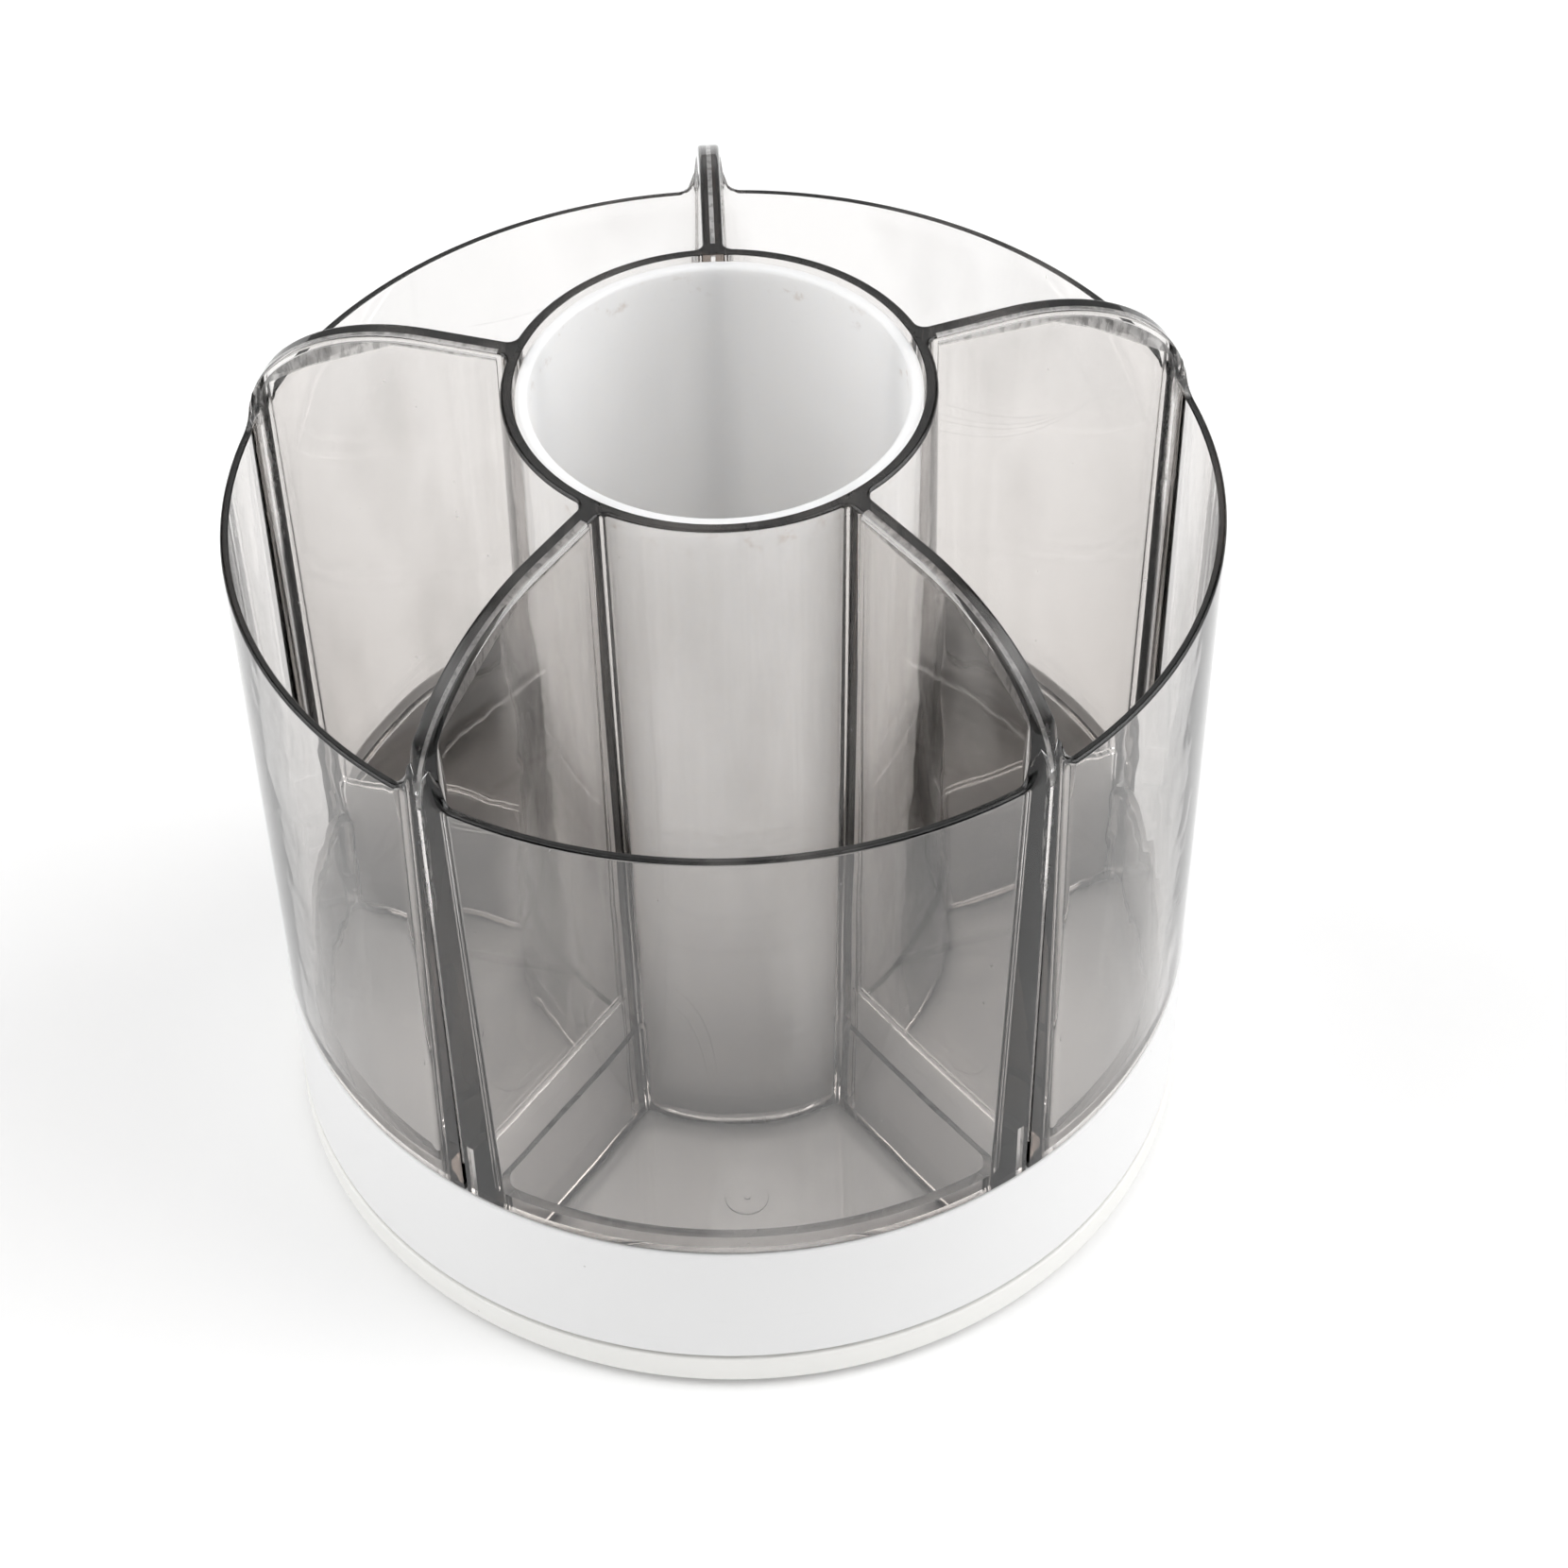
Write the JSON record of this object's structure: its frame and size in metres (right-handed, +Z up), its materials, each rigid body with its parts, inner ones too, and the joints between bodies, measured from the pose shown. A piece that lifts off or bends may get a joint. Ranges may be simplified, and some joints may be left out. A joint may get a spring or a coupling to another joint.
{
  "type": "rotating pen holder",
  "caption": "Round desk organizer that turns on its base: a smoky clear body with outer compartments and tall rounded dividers round a white centre cup.",
  "frame": {"origin": "centre of the bottom, on the turning axis, in the plane that the foot pads stand on", "axes": "+Z up along the turning axis; -Y towards the viewer, through the middle of one compartment; +X to the right"},
  "size_m": [0.128, 0.128, 0.1235],
  "materials": {
    "smoky_clear": "clear grey, polished",
    "white_cup": "satin white",
    "white_tray": "satin white",
    "white_base": "satin white, slightly warm",
    "race_steel": "turned steel with a film of grease",
    "ball_steel": "polished",
    "nylon": "natural nylon",
    "zinc_steel": "zinc plated",
    "pad_rubber": "matt dark grey"
  },
  "bodies": {
    "base": {"base_plate": "white_base", "lower_race": "race_steel", "pivot_screw": "zinc_steel", "retaining_washer": "zinc_steel", "foot_pad_1": "pad_rubber", "foot_pad_2": "pad_rubber", "foot_pad_3": "pad_rubber", "foot_pad_4": "pad_rubber"},
    "cage": {"ball_cage": "nylon", "ball_01": "ball_steel", "ball_02": "ball_steel", "ball_03": "ball_steel", "ball_04": "ball_steel", "ball_05": "ball_steel", "ball_06": "ball_steel", "ball_07": "ball_steel", "ball_08": "ball_steel", "ball_09": "ball_steel", "ball_10": "ball_steel", "ball_11": "ball_steel", "ball_12": "ball_steel"},
    "turntable": {"tray": "white_tray", "upper_race": "race_steel", "pivot_bush": "nylon"},
    "holder": {"clear_holder": "smoky_clear"},
    "cup": {"centre_cup": "white_cup"}
  },
  "joints": [
    {"name": "tray_spin", "type": "hinge", "parent": "base", "child": "turntable", "pos_m": [0, 0, 0.0093], "axis": [0, 0, 1], "continuous": true},
    {"name": "cage_spin", "type": "hinge", "parent": "base", "child": "cage", "pos_m": [0, 0, 0.0077], "axis": [0, 0, 1], "continuous": true},
    {"name": "holder_lift", "type": "slide", "parent": "turntable", "child": "holder", "axis": [0, 0, 1], "range_m": [0, 0.03]},
    {"name": "cup_lift", "type": "slide", "parent": "turntable", "child": "cup", "axis": [0, 0, 1], "range_m": [0, 0.112]}
  ],
  "couplings": [
    {"joint": "cage_spin", "follows": "tray_spin", "ratio": 0.5}
  ]
}
